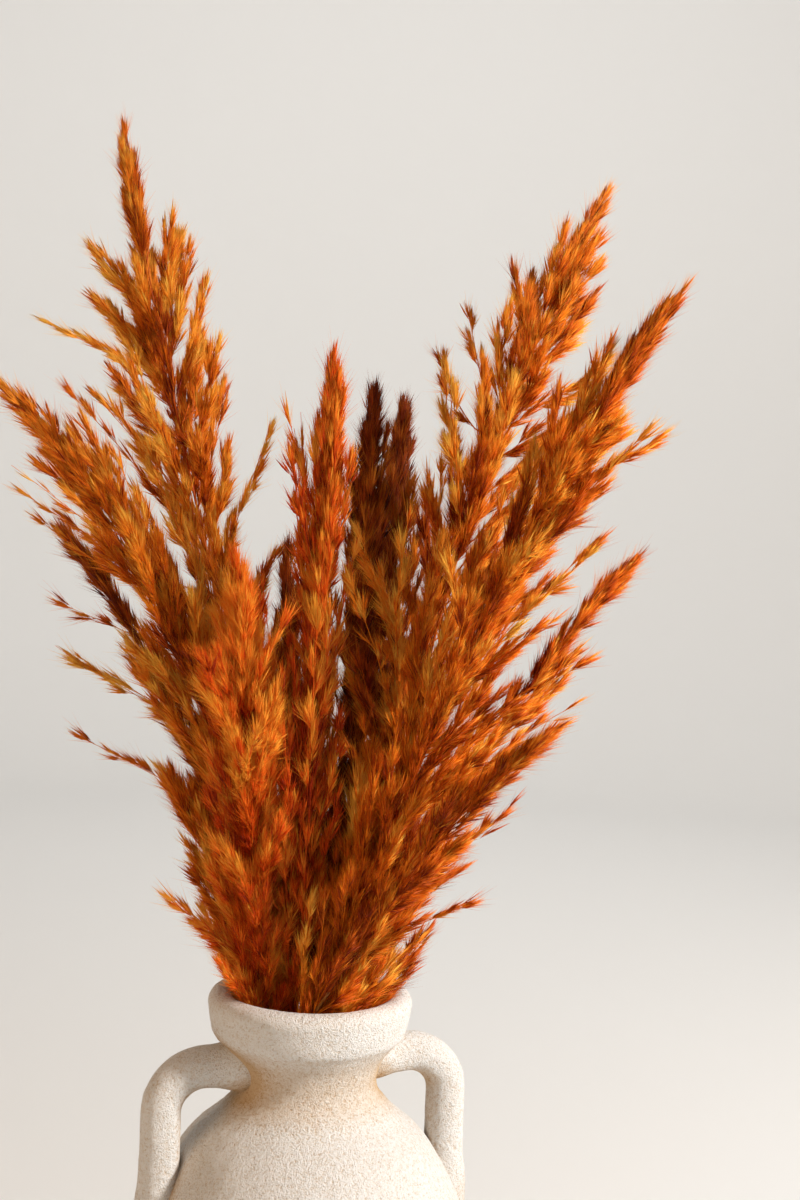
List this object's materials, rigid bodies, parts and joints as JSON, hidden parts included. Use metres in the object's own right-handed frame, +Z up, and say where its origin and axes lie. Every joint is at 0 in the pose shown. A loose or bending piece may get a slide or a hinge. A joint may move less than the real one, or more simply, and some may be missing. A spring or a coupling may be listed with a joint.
{
  "type": "dried pampas grass in vase",
  "caption": "Dried orange pampas grass plumes of several lengths, fanning out of a rough off-white stoneware vase with a thick lip, a short neck and two handles.",
  "frame": {"origin": "centre of the vase's flat foot, on the surface it stands on", "axes": "+Z up along the vase's axis; the two handles lie along X; -Y is the front"},
  "size_m": [0.291, 0.219, 0.634],
  "materials": {
    "stoneware": "matt, unglazed, sandy grit, chalky white slip",
    "stem": "dry reed, dyed orange, satin skin",
    "plume_golden": "dry silky spikelets, dyed golden orange",
    "plume_red": "dry silky spikelets, dyed red orange",
    "plume_dark": "dry spikelets, dyed orange over dark brown"
  },
  "bodies": {
    "root": {"vase_body": "stoneware", "handle_left": "stoneware", "handle_right": "stoneware", "stem_tall_left": "stem", "plume_tall_left": "plume_golden", "stem_outer_left": "stem", "plume_outer_left": "plume_golden", "stem_slender_left": "stem", "plume_slender_left": "plume_dark", "stem_front_left": "stem", "plume_front_left": "plume_red", "stem_low_left": "stem", "plume_low_left": "plume_golden", "stem_centre_front": "stem", "plume_centre_front": "plume_red", "stem_centre_back": "stem", "plume_centre_back": "plume_dark", "stem_centre_short": "stem", "plume_centre_short": "plume_dark", "stem_tall_right": "stem", "plume_tall_right": "plume_golden", "stem_outer_right": "stem", "plume_outer_right": "plume_golden", "stem_back_right": "stem", "plume_back_right": "plume_dark", "stem_slender_right": "stem", "plume_slender_right": "plume_golden", "stem_low_right": "stem", "plume_low_right": "plume_golden"}
  },
  "joints": []
}
